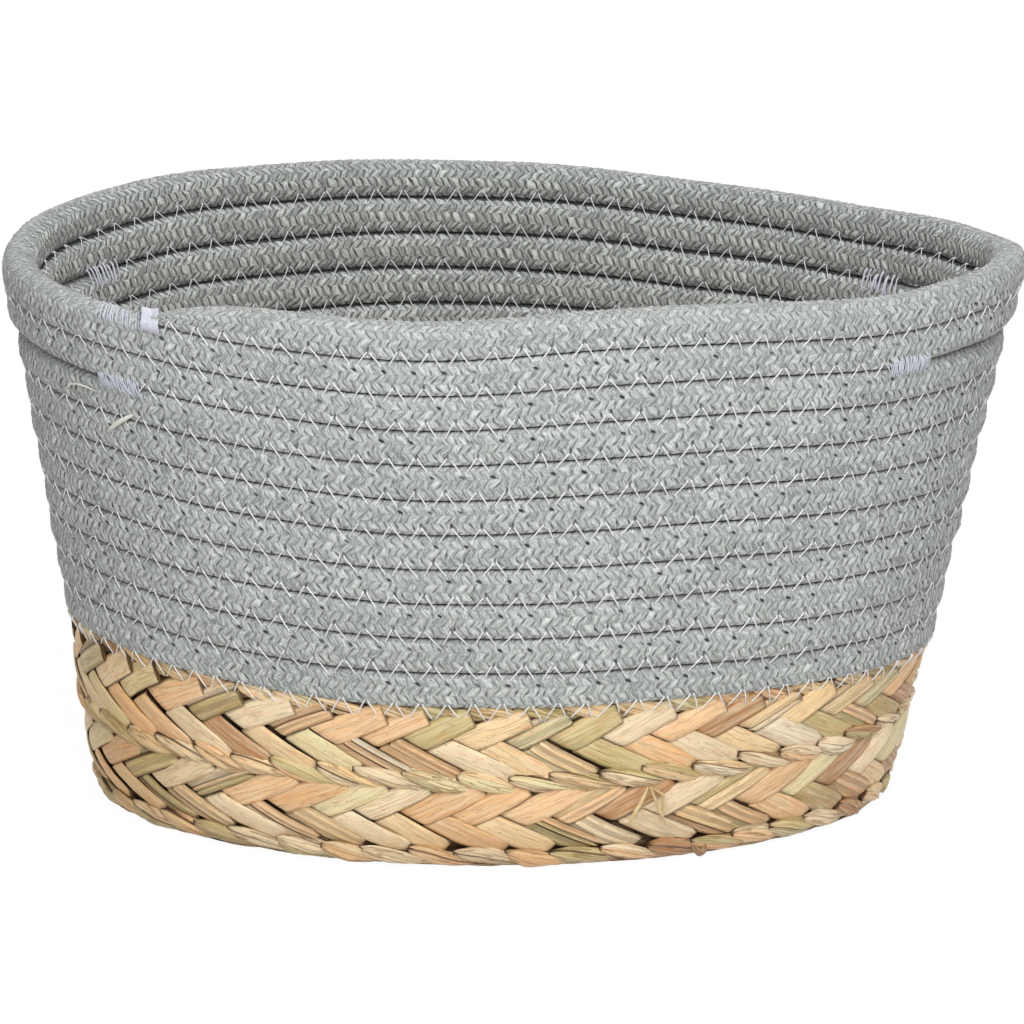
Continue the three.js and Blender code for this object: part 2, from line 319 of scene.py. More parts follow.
# Recipes for a material or the world: short words for Blender's shader nodes
class Recipe:
    def __init__(self, owner, shader="BsdfPrincipled", output="OutputMaterial"):
        owner.use_nodes = True
        self.owner, self.tree = owner, owner.node_tree
        self.tree.nodes.clear()
        self.shader = self.made(shader, {}).socket.node
        self.output = self.tree.nodes.new("ShaderNode" + output).inputs[0]
        self.put(self.output, self.shader.outputs[0])

    def put(self, socket, value):
        value = value.socket if isinstance(value, Value) else value
        if isinstance(value, bpy.types.NodeSocket):
            self.tree.links.new(value, socket)
        else:
            socket.default_value = (*value, 1) if isinstance(value, tuple) else value

    # a node with its inputs set, by number or name
    def made(self, kind, inputs, output=0, **settings):
        node = self.tree.nodes.new("ShaderNode" + kind)
        for key, value in settings.items():
            setattr(node, key, value)
        for key, value in inputs.items():
            self.put(node.inputs[key], value)
        return Value(self, node.outputs[output])

    def math(self, operation, *values):
        return self.made("Math", dict(enumerate(values)), operation=operation)

    def join(self, x, y, z=0.0):
        return self.made("CombineXYZ", {0: x, 1: y, 2: z})

    def split(self, vector):
        node = self.made("SeparateXYZ", {0: vector}).socket.node
        return [Value(self, output) for output in node.outputs]

    def place(self):
        return self.made("TexCoord", {}, "Object")

    def attribute(self, name, output):
        return self.made("Attribute", {}, output, attribute_name=name)

    def rise(self, value, low, high, start=0.0, end=1.0):
        inputs = dict(enumerate((value, low, high, start, end)))
        return self.made("MapRange", inputs, interpolation_type="SMOOTHSTEP")

    def blend(self, factor, first, second, kind="MIX"):
        return self.made("Mix", {0: factor, 6: first, 7: second}, 2, data_type="RGBA", blend_type=kind)

    # colours laid over each other
    def layers(self, body, *coats):
        for factor, tone in coats:
            body = self.blend(factor, body, tone)
        return body

    def noise(self, vector, detail, roughness, scale=1.0):
        inputs = {"Vector": vector, "Scale": scale, "Detail": detail, "Roughness": roughness}
        return self.made("TexNoise", inputs)

    # a random number for each whole step of a vector
    def chance(self, vector, output="Value"):
        return self.made("TexWhiteNoise", {"Vector": vector}, output, noise_dimensions="2D")

    def bump(self, height, distance, strength):
        return self.made("Bump", {"Strength": strength, "Distance": distance, "Height": height})

    # 1 for what the camera sees, by itself, in metal or through glass
    def seen(self):
        path = self.made("LightPath", {}).socket.node.outputs
        rays = ("Camera", "Glossy", "Transmission")
        camera, glossy, glass = (Value(self, path[f"Is {ray} Ray"]) for ray in rays)
        return self.math("MINIMUM", camera + glossy + glass, 1.0)

    def finish(self, inputs):
        for key, value in inputs.items():
            self.put(self.shader.inputs[key], value)
        return self.owner


def colour(red, green, blue):
    parts = np.array([red, green, blue]) / 255
    linear = np.where(parts <= 0.04045, parts / 12.92, ((parts + 0.055) / 1.055) ** 2.4)
    return tuple(float(part) for part in linear)


# Stitches of the zigzag seams, in millimetres: how far their tips reach above and below a seam, and how
# far the thread stands out of the rope's side at the upper holes and at the lower ones
zigzag = {
    "length": 8.3, "up": 2.75, "down": 3.0, "topOut": 0.02, "lowOut": -0.16,
    "radius": 0.2, "innerRadius": 0.15, "gapAtTip": 0.8,
    "sway": 0.3, "uneven": 0.22, "sink": 0.28,  # along the seam, in height, and between the yarns
    # round the ends a stitch is shorter, one of its legs steeper, and the thread tighter
    "shortAtEnds": 0.4, "skew": 1.4, "tightAtEnds": 0.45,
    "holeUp": 2.35, "holeDown": 2.05, "holesApart": 6,  # from the middle of a course, and over a seam
}
footZigzag = {"length": 7.5, "up": 1.7, "down": 4.4, "topOut": 0.05, "lowOut": -0.75}


# Braided cotton: lens-shaped floats in rows, broken slits of painted shade between them, fine yarns along
# each float, a painted shadow line where two courses meet, and painted shade in needle holes
def braidMaterial():
    look = {
        # groove, slit, hole, seam and shadow: painted shade; glint: painted highlight; dull: dull yarn and
        # painted shade inside
        "body": colour(182, 185, 182), "pale": colour(224, 227, 224), "dullAndShade": colour(128, 132, 129),
        "groove": colour(110, 113, 110), "slit": colour(78, 82, 79), "hole": colour(60, 64, 62),
        "seam": colour(66, 70, 68), "shadow": colour(62, 68, 65), "glint": colour(238, 242, 238),
        "seamHeight": 5.16, "inside": 0.1,
        "ends": (0.085, 0.13),  # metres from the middle, where the painted shade of slits begins to widen, and is widest
    }
    r = Recipe(bpy.data.materials.new("braidedCotton"))
    along, row, _ = r.split(r.made("UVMap", {}, uv_map="weave"))
    below, above, height = r.split(r.attribute("stitch", "Vector"))
    # 1 on the rope's inner face, where painted shade darkens it
    inside = r.attribute("shade", "Fac")
    shifted = along + r.math("FLOORED_MODULO", row.floor(), 2.0) * 0.5
    across = abs((shifted + 0.5).fract() - 0.5) * 2.0  # 0 on a float's crest, 1 in the slit
    yarn = r.noise(r.join(along * 4.2, row * 0.9), 3.0, 0.75)
    fluff = r.noise(r.join(along * 9.5, row * 1.7, 7.0), 2.0, 0.6)
    cloudy = r.noise(r.place(), 3.0, 0.65, 34.0)
    chance, shiftUp, _ = r.split(r.chance(r.join(shifted.floor(), row.floor()), "Color"))
    floatTone = r.chance(r.join((shifted + 0.5).floor(), row.floor()))
    tip = abs(row.fract() - (shiftUp * 0.5 + 0.25)) * 2.6  # 0 halfway along a slit, never quite central
    rough = (yarn - 0.5) * 1.1
    # painted shade in the grooves and slits between floats, the slits wider towards the two ends
    groove = r.rise(across + rough, 0.5, 1.02)
    slitShadeWidening = r.rise(abs(r.split(r.place())[0]), *look["ends"]) * 0.15
    edge = across - tip * tip * 0.3 + rough + slitShadeWidening
    slit = r.rise(edge, 0.72, 1.02) * r.rise(chance, 0.15, 1.0, 0.1, 1.0)
    rowEndShade = r.rise(abs(row.fract() - 0.5) * 2.0 + rough, 0.72, 1.1)  # painted shade where floats dive under the next row
    paleShare = yarn + (cloudy - 0.5) * 0.16 + (floatTone - 0.5) * 0.12
    shadeTowardsBottom = r.rise(height, 4.6, -1.5, 0.4, 1.0)  # painted shade, fainter where a course faces up to the light
    body = r.layers(
        look["body"],
        (r.rise(paleShare, 0.48, 0.68), look["pale"]),
        (r.rise(paleShare, 0.48, 0.32), look["dullAndShade"]),
        (r.rise(fluff, 0.5, 0.68, 0.0, 0.75), look["pale"]),
        (r.rise(fluff, 0.47, 0.33, 0.0, 0.7), look["dullAndShade"]),
        (groove * shadeTowardsBottom * 0.56, look["groove"]),
        (rowEndShade * 0.2, look["groove"]),
        (slit * shadeTowardsBottom, look["slit"]))

    # painted shade in a needle hole: an ellipse round the needle's place, leaning a little, stronger at some
    # stitches
    def needleHole(phase, level, wide, tall, lean):
        apart = (phase.fract() - 0.5) * zigzag["length"]
        chance = r.made("TexWhiteNoise", {"W": phase.floor()}, noise_dimensions="1D")
        sideways, upward = apart / wide, (height - level - apart * lean) / tall
        reach = sideways * sideways + upward * upward + (fluff - 0.5) * 1.2
        return r.rise(reach, 1.3, 0.2) * r.rise(chance, 0.05, 0.6, 0.3, 1.0)

    hole = r.math("MAXIMUM", needleHole(below + 0.5, -2.15, 0.4, 0.8, 0.9) * 0.75,
                  needleHole(above, 1.95, 0.8, 0.5, -0.35)) * (1.0 - inside * 0.85)
    # inside the basket: painted shade greys the cotton and darkens gaps and lower halves; painted highlight
    # on floats
    glint = r.rise(paleShare, 0.48, 0.62) * r.rise(across, 0.75, 0.3, 0.0, 0.75)
    gap = r.math("MAXIMUM", r.rise(across + rough, 0.66, 1.05, 0.0, 0.62),
                 r.rise(height, 1.0, -5.5, 0.0, 0.34))
    # painted shadow in the seam where two courses meet
    level = abs(height) + (fluff - 0.5) * 0.5 + (across - 0.5) * 0.24
    seamShade = r.rise(level, look["seamHeight"] - 0.16, look["seamHeight"] + 0.08)
    body = r.layers(
        r.blend(inside * look["inside"], body, look["dullAndShade"], "MULTIPLY"),
        (glint * inside, look["glint"]),
        (gap * inside, look["shadow"]),
        (hole, look["hole"]),
        (seamShade * r.rise(abs(height), 9.0, 8.0), look["seam"]))
    return r.finish({
        "Base Color": body, "Roughness": r.rise(yarn, 0.2, 0.8, 0.8, 0.95), "Specular IOR Level": 0.2,
        "Sheen Weight": 0.08, "Sheen Roughness": 0.5,
        "Normal": r.bump(yarn + fluff * 0.5 - groove * 0.5 - (hole + slit * 0.6), 0.0006, 1.0)})


# Polyester sewing thread: a little shiny, two plies
def threadMaterial(name, dark, light):
    r = Recipe(bpy.data.materials.new(name))
    ply = r.noise(r.place(), 1.0, 0.5, 2600.0)
    return r.finish({
        "Base Color": r.blend(ply, dark, light), "Roughness": r.rise(ply, 0.3, 0.7, 0.4, 0.6),
        "Specular IOR Level": 0.4, "Normal": r.bump(ply, 0.00008, 0.5)})


# Dry seagrass leaf: its own tint, fine ribs along it, streaks, brown flecks, and painted shade in its
# crevices and folds
def leafMaterial():
    look = {
        # the rib tone also paints shade into fold lines; the crevice tone is painted shade
        "pale": colour(255, 238, 204), "blush": colour(240, 166, 112), "ribAndFoldShade": colour(160, 116, 62),
        "fleck": colour(120, 72, 36), "creviceShade": colour(76, 46, 20), "leftEndTone": colour(222, 204, 172),
        "leftEnd": (-0.07, -0.118),  # metres from the middle: browner there, with deeper painted shade in the crevices
    }
    r = Recipe(bpy.data.materials.new("seagrassLeaf"))
    along, across, _ = r.split(r.made("UVMap", {}, uv_map="weave"))
    atLeft = r.split(r.place())[0]

    def grain(alongIt, acrossIt, detail, roughness, layer=0.0):
        return r.noise(r.join(along * alongIt, across * acrossIt, layer), detail, roughness)

    ribs = grain(0.045, 3.6, 4.0, 0.7)
    streaks = grain(0.05, 0.9, 3.0, 0.6)
    patches = grain(0.16, 0.35, 3.0, 0.6)
    flecks = grain(0.9, 2.2, 2.0, 0.5)
    fold = abs(grain(0.05, 0.55, 2.0, 0.5, 5.0) - 0.5)
    crease = r.rise(fold, 0.035, 0.004) * r.attribute("tint", "Alpha")  # thin lines where a leaf has folded: painted shade, and a dent in the bump
    body = r.layers(
        r.attribute("tint", "Color"),
        (r.rise(streaks, 0.35, 0.7, 0.0, 0.45), look["pale"]),
        (r.rise(patches, 0.5, 0.78, 0.0, 0.5), look["blush"]),
        (r.rise(ribs, 0.45, 0.27, 0.0, 0.45), look["ribAndFoldShade"]),
        (r.rise(ribs, 0.54, 0.72, 0.0, 0.45), look["pale"]),
        (r.rise(flecks, 0.66, 0.74, 0.0, 0.75), look["fleck"]),
        (crease * 0.6, look["ribAndFoldShade"]))
    body = r.blend(r.rise(atLeft, *look["leftEnd"], 0.0, 0.6), body, look["leftEndTone"], "MULTIPLY")
    # painted shade in the crevices, deeper at the left end
    paintedShade = r.attribute("shade", "Fac") + (ribs - 0.5) * 0.35 + r.rise(atLeft, *look["leftEnd"], 0.0, 0.16)
    paintedShade = r.rise(paintedShade, 0.58, 0.97, 0.0, 0.95)
    return r.finish({
        "Base Color": r.blend(paintedShade, body, look["creviceShade"]), "Specular IOR Level": 0.5,
        "Roughness": r.math("MAXIMUM", r.rise(ribs, 0.2, 0.8, 0.36, 0.56), paintedShade),
        "Normal": r.bump(ribs - crease, 0.00045, 0.9)})


braidedCotton = braidMaterial()
sewingThread = threadMaterial("sewingThread", colour(226, 228, 231), colour(255, 255, 255))
tackThread = threadMaterial("tackThread", colour(184, 185, 197), colour(228, 229, 240))
creamFibre = threadMaterial("creamFibre", colour(198, 202, 190), colour(236, 238, 226))
seagrassLeaf = leafMaterial()
print("materials made")


# A power that keeps the sign, for the two coordinates of a superellipse
def signedPower(value, power):
    return np.sign(value) * np.abs(value) ** power


# Half sizes of the rope's section and how far it is shifted, at a turn: it fills the room between
# its neighbours' centre lines, half way to each, or keeps half a pitch where it has none
def ropeHalves(turn):
    z = ropeCentre(turn)[1]
    above = np.where(turn >= 1, (ropeCentre(turn - 1)[1] - z) / 2, halfPitch)
    below = np.where(turn <= rope["turns"] - 1, (z - ropeCentre(turn + 1)[1]) / 2, halfPitch)
    above = above + (halfPitch - above) * np.where(turn > 2, partedBelow(turn - 1), 0)
    below = below + (halfPitch - below) * partedBelow(turn)
    half = (above + below) / 2 - rope["seamGap"]
    taper = taperAt(turn)
    side = np.where(turn < rope["turns"] / 2, -1, 1)
    wide = halfWidth * (rope["tipWidth"] + (1 - rope["tipWidth"]) * taper)
    return wide, half * taper, (above - below) / 2 + side * half * (1 - taper)


# Points of the section in rows of floats: the row number of each, and its place on a square section and
# on a round one, evenly spaced on both
def sectionRows(perRow):
    turn = np.linspace(0, fullTurn, 4001)
    rows = []
    for row, count in enumerate(perRow):
        rows += [row + k / count for k in range(count)]
    rows = np.array(rows + [len(perRow)])
    start = -2.5 / len(perRow)  # five rows lie across the outer face
    share = np.mod(rows[:-1] / len(perRow) + start, 1)
    places = []
    for n in (rope["faceRound"], rope["freeRound"]):
        x, y = signedPower(np.cos(turn), 2 / n), signedPower(np.sin(turn), 2 / n)
        length = np.concatenate([[0], np.cumsum(np.hypot(np.diff(x), np.diff(y)))])
        places.append(np.interp(share * length[-1], length, turn))
    return rows, places[0], places[1]


# Rope: rings every quarter float, slanted in and out by rows, so that a ring follows the floats.
# A point stands on a superellipse, raised by a cosine across each float and a sine along it
def ropeGrid(firstRing, lastRing, perRow):
    rows, squarePlace, roundPlace = sectionRows(perRow)
    ring = np.arange(firstRing, lastRing + 1)
    rowOfPoint = rows[:-1]
    part = np.mod(rowOfPoint, 1)
    rowNumber = np.floor(rowOfPoint).astype(int)
    parity = rowNumber % 2
    slant = rope["slant"] * np.where(parity == 0, part, 1 - part)
    quarter = rope["floatLength"] / 4
    length = ring[:, None] * quarter + slant[None, :]
    length = np.clip(length, rope["tipStart"], lengthAt(rope["turns"]))
    turn = turnAt(length)
    angle, z, inset = ropeCentre(turn)
    wide, high, shift = ropeHalves(turn)
    # rounder where no course lies above or below
    over = slitWindow(angle)
    freeTop = np.maximum(1 - smoothStep(turn, 0.9, 1.05), over * ((turn > 2) & (turn < 3)))
    freeBottom = over * ((turn > 1) & (turn < 2))
    free = np.where(np.sin(squarePlace)[None, :] > 0, freeTop, freeBottom)
    soft = np.maximum(free, rope["endsRound"] * smoothStep(np.abs(np.cos(angle)), 0.75, 0.98))
    soft = np.maximum(soft, rope["innerRound"] * smoothStep(-np.cos(squarePlace), -0.05, 0.4))
    n = rope["faceRound"] + (rope["freeRound"] - rope["faceRound"]) * soft
    turnOfSection = squarePlace + (roundPlace - squarePlace) * soft
    c, s = np.cos(turnOfSection), np.sin(turnOfSection)
    across, upright = signedPower(c, 2 / n), signedPower(s, 2 / n)
    # lens of each float; a sum of three sines moves the floats along a little
    drift = 0.1 * np.sin(length / 1.21 + 1.9 * rowOfPoint) + 0.09 * np.sin(length / 0.67 - 2.7 * rowOfPoint)
    drift = drift + 0.08 * np.sin(length / 3.3 + 0.8 * rowOfPoint)
    phase = ring[:, None] / 4 + 0.5 * parity[None, :] + drift
    crest = 0.5 + 0.5 * np.cos(fullTurn * phase)
    lens = crest ** 0.8 * (0.35 + 0.65 * np.sin(np.pi * part) ** 0.6)
    floatNumber = np.round(phase).astype(int)
    unevenness = rng.uniform(*rope["floatStrength"], (rope["floatKinds"], len(perRow)))
    strength = unevenness[floatNumber % rope["floatKinds"], rowNumber[None, :]]
    fibre = rng.normal(0, rope["fibre"], phase.shape)
    relief = rope["relief"] * (lens * strength - 0.75) + fibre
    # the courses press flat on each other, so relief fades towards the seams
    pressed = 1 - (1 - free) * smoothStep(np.abs(upright), 0.8, 1.0)
    relief = relief * pressed
    lean = np.hypot(across, upright) + 1e-6
    out = wide * across + relief * across / lean
    rise = high * upright + relief * upright / lean
    # yarns drawn in round each needle hole
    below = length / zigzag["length"]
    above = np.where(turn > 1, lengthAt(turn - 1) / zigzag["length"], 0)
    level = 5.26 * rise / (high + 0.01) * (1 - 0.12 * free) * (1 + 0.04 * (c < -0.05))

    def dimple(phaseAt, centre, height):
        apart = (np.mod(phaseAt - centre + 0.5, 1) - 0.5) * zigzag["length"]
        return np.exp(-(apart / 0.8) ** 2 - ((level - height) / 1.0) ** 2)

    seamBelow = (turn < rope["turns"] - 1) & ~((turn > 1) & (turn < 2) & (over > 0.5))
    seamAbove = (turn > 1) & ~((turn > 2) & (turn < 3) & (over > 0.5))
    pull = rope["holePull"] * (dimple(below, 0, -zigzag["holeUp"]) * seamBelow
                               + dimple(above, 0.5, zigzag["holeDown"]) * seamAbove)
    out = out - pull * np.sign(across) + courseShift(turn)
    grid = ovalPoint(angle, z + (1 - rope["upright"]) * (rise + shift), inset - out)
    grid[..., 2] = z + rise + shift
    below = np.where(seamBelow, below, 0.5)
    above = np.where(seamAbove, above, 0.0)
    stitch = np.stack([below, above, level], -1)
    drift = np.concatenate([drift, drift[:, :1]], 1)
    uv = np.stack(np.broadcast_arrays(ring[:, None] / 4 + drift, rows[None, :]), -1)
    inside = smoothStep(-c + 0 * length, -0.2, 0.6)  # painted shade on the rope's inner face
    return {"grid": grid[None], "uv": uv[None], "stitch": stitch[None], "shade": inside[None]}


def makeRope():
    fine = [4] * 14
    plain = [4, 4, 4, 4, 4, 2, 2, 3, 3, 3, 3, 3, 2, 2]  # outer face, top, inner face, underside
    ends = [0] + [turn + rope["cut"] for turn in range(1, 10)] + [rope["turns"]]
    quarter = rope["floatLength"] / 4
    for number, (start, end) in enumerate(zip(ends[:-1], ends[1:]), 1):
        first = int(round((lengthAt(start) if start else rope["tipStart"]) / quarter))
        last = int(round(lengthAt(end) / quarter))
        last -= 3 if number == len(ends) - 1 else 0
        group = ropeGrid(first, last, fine if number == 1 else plain)
        makePiece(f"ropeCourse{number}", [group], braidedCotton, "cotton_rope", "rope_wall_coil")
    print("rope braided,", number, "lengths")


makeRope()


# How far the upright courses stand out of the leaning wall near a seam, from a hole in the upper
# course to one in the lower, as a straight line
def leanAtSeam(turn, height, angle, z, inset):
    share = np.clip(0.5 + height / zigzag["holesApart"], 0, 1)
    shift = courseShift(turn) * share + courseShift(turn + 1) * (1 - share)
    return shift + 0.9 * rope["upright"] * flareAt(angle, z, inset) * height


# Zigzag thread: every stitch has two straight legs, from an upper hole down to the holes on both sides.
# A leg dives into the rope at its ends, and its lower half sinks between the yarns
def stitchLegs(stitch, side, seam, place):
    spacing, topOut, lowOut = seam["length"], halfWidth + seam["topOut"], halfWidth + seam["lowOut"]
    share = np.array([0, 0.04, 0.12, 0.36, 0.56, 0.74, 1.0])
    dive = np.array([0.8, 0.1, 0, 0.04, 0.2, 0.36, 0.8])
    grids = []
    sway = rng.normal(0, zigzag["sway"], (2, len(stitch)))
    rise = rng.normal(0, zigzag["uneven"], (2, len(stitch)))
    half = zigzag["gapAtTip"] / 2
    aroundEnd = np.cos(angleAt(turnAt(stitch * spacing)))
    atEnds = smoothStep(np.abs(aroundEnd), 0.55, 0.95)
    top = seam["up"] * (1 - zigzag["shortAtEnds"] * atEnds) + rise[0]
    skew = zigzag["skew"] * atEnds * np.sign(aroundEnd)
    for way in (1, -1):
        lower = sway[1] if way == 1 else np.roll(sway[1], 1)
        lowerRise = rise[1] if way == 1 else np.roll(rise[1], 1)
        start = stitch * spacing + sway[0] + way * half - skew
        end = (stitch + 0.5 * way) * spacing + lower - way * half * 0.6 + skew
        length = start[:, None] + (end - start)[:, None] * share
        height = top[:, None] + (lowerRise - seam["down"] - top)[:, None] * share
        deeper = zigzag["sink"] * smoothStep(aroundEnd * way, 0.25, 0.9)
        sunk = rng.uniform(0, zigzag["sink"] / 2, (len(stitch), 1)) + deeper[:, None]
        out = topOut + (lowOut - topOut) * share - dive - sunk + 0 * length
        points, angle = place(length, height, side * out)
        grids.append(tubes(points, outward(angle) * side, zigzag["radius" if side == 1 else "innerRadius"]))
    return np.concatenate(grids)


# A point on a seam: a height above the seam below that place of the rope, and out of its centre line
def seamPlace(length, height, out):
    turn = turnAt(length)
    angle, upperZ, inset = ropeCentre(turn)
    _, lowerZ, _ = ropeCentre(turn + 1)
    z = (upperZ + lowerZ) / 2 + height
    pulledIn = 1 - zigzag["tightAtEnds"] * smoothStep(np.abs(np.cos(angle)), 0.6, 0.95)
    return ovalPoint(angle, z, inset - out - pulledIn * leanAtSeam(turn, height, angle, z, inset)), angle


# The same on the lowest seam, between the rope's last loop and the plait
def footSeamPlace(length, height, out):
    turn = turnAt(length)
    angle, _, inset = ropeCentre(turn)
    z = underRope(turn) + height
    lean = rope["upright"] * flareAt(angle, z, inset) * 3.6 + courseShift(turn)
    return ovalPoint(angle, z, inset - out - lean * smoothStep(height, -3.6, 1.2)), angle


def makeZigzags():
    wallLength, spacing = lengthAt(rope["turns"] - 1), footZigzag["length"]
    stitch = np.arange(1, int(wallLength / zigzag["length"]))
    turn = turnAt(stitch * zigzag["length"])
    overSlit = (turn > 1) & (turn < 2) & (slitWindow(angleAt(turn)) > 0.35)
    footStitch = np.arange(int(wallLength / spacing) + 1, int(lengthAt(rope["turns"] - 0.02) / spacing))
    for side, name in ((1, "outer"), (-1, "inner")):
        groups = [{"grid": stitchLegs(stitch[~overSlit], side, zigzag, seamPlace)},
                  {"grid": stitchLegs(footStitch, side, footZigzag, footSeamPlace)}]
        makePiece(f"zigzagThread_{name}", groups, sewingThread, "sewing_thread")
    print("zigzag seams sewn:", len(stitch), "stitches")


makeZigzags()

# The foot's plaits and one strand of them, in millimetres
foot = {
    "plaitWidth": 23.4, "plaitThickness": 4.6, "inset": 0.5, "heelTuck": 2.2, "heelHeight": 11,
    "baseThickness": 4.9, "baseInset": 3.4, "baseLoops": 3, "baseStep": 0.25, "baseLead": 0.08,
    "clearance": 0.3, "baseLoopGap": 0.65, "coreDepth": 2.27,
}
strand = {
    "spacing": 14.0, "width": 7.8, "slope": math.radians(27), "thickness": 0.55,
    "tilt": 0.6, "bulge": 0.4, "arch": 0.42, "pastMiddle": 1.5, "dive": 2.3,
    "flat": 0.62, "rollLength": 23.0,  # of a selvage
    "leafShares": (0.6, 0.3, 0.1), "alike": 0.45,  # one, two or three leaves, and how often two are alike
    "brightness": (0.88, 1.22),
    "stations": (0, 0.1, 0.28, 0.5, 0.68, 0.78, 0.83, 0.875, 0.93, 1.0),
}
# Tint of a leaf, and how often it comes
leafTints = {
    (250, 214, 160): 0.19, (255, 230, 188): 0.17, (255, 206, 152): 0.15, (204, 184, 120): 0.12,
    (226, 210, 160): 0.09, (240, 188, 130): 0.09, (178, 124, 72): 0.06, (252, 212, 154): 0.05,
    (255, 236, 204): 0.04, (184, 158, 98): 0.06,
}


# How far the foot is drawn in near the floor: the square of the depth below the heel's top
def heel(z):
    low = np.clip(1 - (z - foot["baseThickness"]) / foot["heelHeight"], 0, 1)
    return foot["heelTuck"] * low ** 2


# Angle against length round an oval at one height, measured on a fine polyline
def roundTable(z, inset, startAngle, turns=1.0, insetAt=None):
    share = np.linspace(0, turns, 6000)
    angle = startAngle + share * fullTurn
    line = ovalPoint(angle, z + 0 * angle, inset if insetAt is None else insetAt(share))
    return angle, distances(line)


# Tint of every leaf in every strand, three leaves side by side at most: picked by share, times a random
# factor, and divided by its largest part where that is over 1
def leafColours(count):
    tints = np.array([colour(*tint) for tint in leafTints])
    shares = np.array(list(leafTints.values()))
    picks = rng.choice(len(tints), (count, 3), p=shares / shares.sum())
    alike = rng.random((count, 3)) < strand["alike"]
    picks[:, 1:] = np.where(alike[:, 1:], picks[:, :1], picks[:, 1:])
    tints = tints[picks] * rng.uniform(*strand["brightness"], (count, 3, 1))
    return tints / np.maximum(1, tints.max(axis=-1, keepdims=True))


# Strands of one side of a plait's face. A strand is a ribbon from the edge to past the middle, straight
# along its slope. Its far side lies under the next strand, its near side on the last one, and past the
# middle it dives under the strand of the other side, along that strand's slanted edge
def faceStrands(count, spacing, edgeV, middleV, upper, edgeDive):
    each = (count, 1, 1)
    number = np.arange(count).reshape(each)
    a = np.array(strand["stations"])[None, :, None]
    sign = 1 if upper else -1
    slope = strand["slope"] + rng.normal(0, 0.03, each)
    run = (abs(edgeV - middleV) + strand["pastMiddle"]) / np.tan(slope)
    width = strand["width"] * rng.uniform(0.94, 1.12, each) * spacing / strand["spacing"]
    halfStep = 0 if upper else 0.5 * spacing
    startU = number * spacing + rng.normal(0, 0.45, each) + halfStep
    leaves = rng.choice([1, 2, 3], count, p=strand["leafShares"])
    firstCut = np.where(leaves == 1, -0.33, rng.uniform(-0.5, 0.15, count))
    secondCut = np.where(leaves == 3, rng.uniform(0.35, 0.6, count), 0.55)
    # seven places across the face of a strand, with a crease where two leaves meet, and two below it
    one = np.ones(count)
    b = np.stack([-one, (firstCut - 1) / 2, firstCut, (firstCut + secondCut) / 2, secondCut,
                  (secondCut + 1) / 2, one, 0.9 * one, -0.9 * one], -1)[:, None, :]
    low = -strand["thickness"] - 0.3
    crease = np.tile([-0.3, 0.08, 0.08, 0.08, 0.06, 0.08, -0.3, low, low], (count, 1))
    crease[leaves >= 2, 2] = -0.34
    crease[leaves == 3, 4] = -0.32
    # direction towards the middle, and the direction across, to the strand laid before
    towardU, towardV = -np.cos(slope), -sign * np.sin(slope)
    acrossU, acrossV = np.sin(slope), -sign * np.cos(slope)
    full = run / np.cos(slope)
    bow = np.sin(np.pi * a) * rng.normal(0, 0.3, each)
    half = width / 2 * (1 - 0.1 * (2 * a - 1) ** 2)
    # the rows of points turn parallel to the other strand's edge
    far = full * a - half * b / np.tan(2 * slope) * smoothStep(a, 0.45, 0.75)
    u = startU + run + towardU * far + acrossU * (half * b + bow)
    v = edgeV + towardV * far + acrossV * (half * b + bow)
    # clear: how far a point still is from that edge
    other = number * spacing + halfStep - 0.5 * spacing + strand["pastMiddle"] / np.tan(strand["slope"])
    clear = (u - other) * np.sin(slope) + sign * (v - middleV) * np.cos(slope) - strand["width"] / 2
    under = smoothStep(clear, 0.6, -0.9)
    dive = strand["dive"] * under + edgeDive * smoothStep(a, 0.16, 0.0)
    level = -1 + strand["tilt"] * b * (1 - 0.7 * under) + crease[:, None, :] - dive
    level = level + strand["bulge"] * np.sin(np.pi * a) + strand["arch"] * (1 - b ** 2)
    level = level + rng.normal(0, 0.13, each)
    level = np.maximum(level, np.array([-2.12] * 7 + [-2.4] * 2))  # no deeper than the core
    # painted shade in crevices: at the sides, at creases between leaves, and where the strand goes under
    # another
    shade = np.tile([1.0, 0, 0, 0, 0, 0, 0.8, 1.0, 1.0], (count, 1))
    shade[leaves >= 2, 2] = 0.9
    shade[leaves == 3, 4] = 0.9
    shade = shade * rng.uniform(0.82, 1.1, (count, 1))
    shade = np.maximum(shade[:, None, :] + 0 * a, smoothStep(clear, 0.8, -0.6))
    shade = np.maximum(shade, np.where(edgeDive > 0.5, 0.9 * smoothStep(a, 0.1, 0.02), 0.85 * (a < 0.01)))
    colours = leafColours(count)
    leaf = np.minimum(np.arange(3), leaves[:, None] - 1)
    tint = np.take_along_axis(colours, leaf[:, :, None], axis=1)[:, [0, 0, 1, 1, 2, 2, 1, 1, 0]]
    offset = rng.uniform(0, 400, each)
    leafOffset = np.array([0, 0, 9, 9, 21, 21, 9, 9, 0, 0]) * (leaves[:, None, None] > 1)
    around = width / 2 * np.concatenate([b, b[..., :1]], -1) + offset * 1.7 + leafOffset
    uv = np.stack(np.broadcast_arrays(full * a + offset, around), -1)
    return u, v, level, uv, tint, np.clip(shade, 0, 1)


